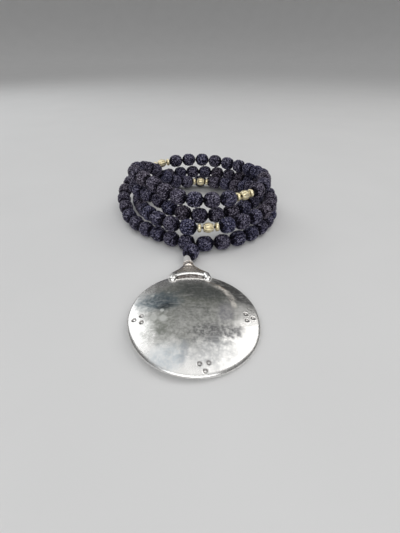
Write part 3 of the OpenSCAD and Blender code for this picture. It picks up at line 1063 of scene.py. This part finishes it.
def bail_mesh():
    """Bar, lugs, ledge, shoulders and hollow neck, soldered into one skin."""
    neck_place = along_axis(NECK_ROOT, neck_point(1) - neck_point(0))
    parts = [shoulder_part(), turned_part(NECK, neck_place),
             arc_part(BAR_R, BAR_HEIGHT, 0.88, rise=BAR_RISE), arc_part(LEDGE_R, 1.3, 0.8, 0.8)]
    for side in (-1, 1):
        way = (-side * sin(LUG_TURN), cos(LUG_TURN), 0)
        parts.append(capsule_part((side * LUG_ACROSS, LEDGE_R, 1.0), way, 2.5, 2.0))
    points, faces = [], []
    for some_points, some_faces in parts:
        faces += [tuple(i + len(points) for i in face) for face in some_faces]
        points += [tuple(p) for p in some_points]
    obj = new_object("bail_parts", closed_mesh("bail_parts", points, faces))
    remesh = obj.modifiers.new("Solder", "REMESH")
    remesh.mode = "VOXEL"
    remesh.voxel_size = 0.17
    remesh.use_smooth_shade = True
    soften = obj.modifiers.new("Wear", "SMOOTH")
    soften.factor = 0.5
    soften.iterations = 5
    mesh = evaluated_mesh(obj)
    bpy.data.objects.remove(obj)
    places = [vert.co.copy() for vert in mesh.vertices]
    worn = []
    for p, vert in zip(places, mesh.vertices):
        worn.extend(p + vert.normal * (0.07 * noise.noise(p / 1.8) + 0.025 * noise.noise(p / 0.6)))
    mesh.vertices.foreach_set("co", worn)
    mesh.update()
    place_attribute(mesh, "face_at", places)
    value_attribute(mesh, "hollow", [bail_hollow(p) for p in places])
    value_attribute(mesh, "face", [0.0] * len(places))
    value_attribute(mesh, "matt", [smooth_step(DISC_R + 6.5, DISC_R + 8.5, p.y) for p in places])
    value_attribute(mesh, "warm", [bail_warm(p) for p in places])
    return mesh


def bail_warm(p):
    """Where the bail has toned warm: its shoulders, and a little on the ledge before the slit."""
    past_rim = p.y - DISC_R
    shoulders = smooth_step(-0.2, 0.9, past_rim) * smooth_step(11, 8, past_rim)
    inside_rim = DISC_R - hypot(p.x, p.y)
    ledge = smooth_step(3.0, 3.6, inside_rim) * smooth_step(7.4, 6.6, abs(p.x))
    return max(shoulders, 0.3 * ledge)


def bail_hollow(p):
    """Where the bail takes painted shade: in the slit before the bar, and at the ring round the neck's
    foot.
    """
    r = hypot(p.x, p.y)
    arch = BAR_HEIGHT + BAR_RISE * (1 - (p.x / BAR_HALF_WIDTH) ** 2)
    under_arch = smooth_step(0.45, 0.1, p.z - arch)
    slit = smooth_step(0.95, 0.65, abs(r - SLIT_R)) * under_arch * smooth_step(7.6, 6.6, abs(p.x))
    along = (p - NECK_ROOT).dot(neck_point(1) - neck_point(0))
    ring = smooth_step(0.5, 0.15, abs(along - 2.2)) + smooth_step(0.5, 0.15, abs(along - 0.2))
    return min(1.0, slit + 0.6 * ring * smooth_step(3.2, 2.8, hypot(p.x, p.z + 0.4)))


def make_melong(material):
    """The silver disc and its bail, in place of the CAD melong."""
    to_part = Matrix.Scale(MM, 4) @ melong_place()
    for name, mesh in (("silver_disc", disc_mesh()), ("silver_bail", bail_mesh())):
        mesh.transform(to_part)
        mesh.materials.append(material)
        finish_piece(new_object(name, mesh), ["melong"])


# The room


def make_floor(height, material):
    """A wide round pale floor just under the part, which curves up into a low backdrop all round."""
    bend, flat, wall = 0.35, 2.0, 0.55
    profile = [(flat * k / 8, height) for k in range(1, 9)]
    profile += [(flat + bend * sin(a), height + bend * (1 - cos(a)))
                for a in [radians(10 * k) for k in range(1, 10)]]
    profile.append((flat + bend, height + wall))
    rings = [[(0, 0, height)]] + [level_ring(r, z, 96) for r, z in profile]
    mesh = closed_mesh("floor", *stitch(rings))
    mesh.materials.append(material)
    new_object("floor", mesh)


def softbox(name, azimuth, elevation, size, radiance, tint=(1, 1, 1)):
    """A soft rectangular light that faces the part from that direction, azimuth 0 being beyond it."""
    a, e = radians(azimuth), radians(elevation)
    towards = Vector((sin(a) * cos(e), cos(a) * cos(e), sin(e)))
    light = bpy.data.lights.new(name, "AREA")
    light.shape = "RECTANGLE"
    light.size, light.size_y = size
    light.energy = radiance * pi * size[0] * size[1]
    light.color = tint
    obj = bpy.data.objects.new(name, light)
    obj.location = Vector(LIT_PLACE) + towards * SOFTBOX_DISTANCE
    obj.rotation_euler = towards.to_track_quat("Z", "Y").to_euler()
    bpy.context.scene.collection.objects.link(obj)


def make_lights():
    """Soft boxes at the far left, the far right and the front, in a room that is bright overhead."""
    softbox("front_softbox", 180, 35, (1.0, 0.50), 2.4)
    softbox("left_softbox", -46, 42, (0.46, 0.68), 1.5, (0.97, 0.99, 1.0))
    softbox("right_softbox", 62, 52, (0.48, 0.62), 1.5, (1.0, 0.99, 0.97))
    world = bpy.data.worlds.new("Dim room")
    world.use_nodes = True
    tree = Tree(world.node_tree, "Background")
    up = tree.split(tree.add("ShaderNodeTexCoord").outputs["Generated"])[2]
    haze = tree.blend(tree.remap(up, 0.16, 0.42), grey(0.22), grey(0.11))
    low = tree.blend(tree.remap(up, 0.42, 0.8), haze, grey(0.24))
    sky = tree.blend(tree.remap(up, 0.77, 1.0), low, grey(0.95))
    tree.feed("Color", sky)
    bpy.context.scene.world = world


def make_camera():
    """The camera, at the photograph's viewing angle."""
    camera = bpy.data.cameras.new("camera")
    camera.lens = CAMERA_LENS
    camera.sensor_width = 36
    camera.clip_start = 0.01
    obj = bpy.data.objects.new("camera", camera)
    obj.location = Vector(CAMERA_AT) * MM
    obj.rotation_euler = Euler((radians(90 - CAMERA_DOWN), 0, 0))
    bpy.context.scene.collection.objects.link(obj)
    bpy.context.scene.camera = obj


def numbers(box):
    """A box as plain lists."""
    return [list(corner) for corner in box]


def main():
    """Loads the part, makes each piece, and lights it."""
    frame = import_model()
    cad_box = numbers(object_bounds())
    make_camera()
    string = [drilled(part, "bead_string") for part in loose_parts(frame["nodes"]["bead_string"])]
    guru = drilled(loose_parts(frame["nodes"]["guru_bead"])[0], "guru_bead")
    order = in_order(string + marker_pieces(frame), guru.at)
    scratches, stains = scratch_group(), stain_group()
    make_seeds(order, guru, seed_material())
    make_thread(order, guru, thread_material())
    make_markers(order, frame["nodes"], marker_material(scratches))
    make_melong(silver_material(stains, scratches))
    make_floor(cad_box[0][2] - FLOOR_GAP, floor_material())
    make_lights()
    bpy.context.scene.view_settings.view_transform = "Standard"


main()
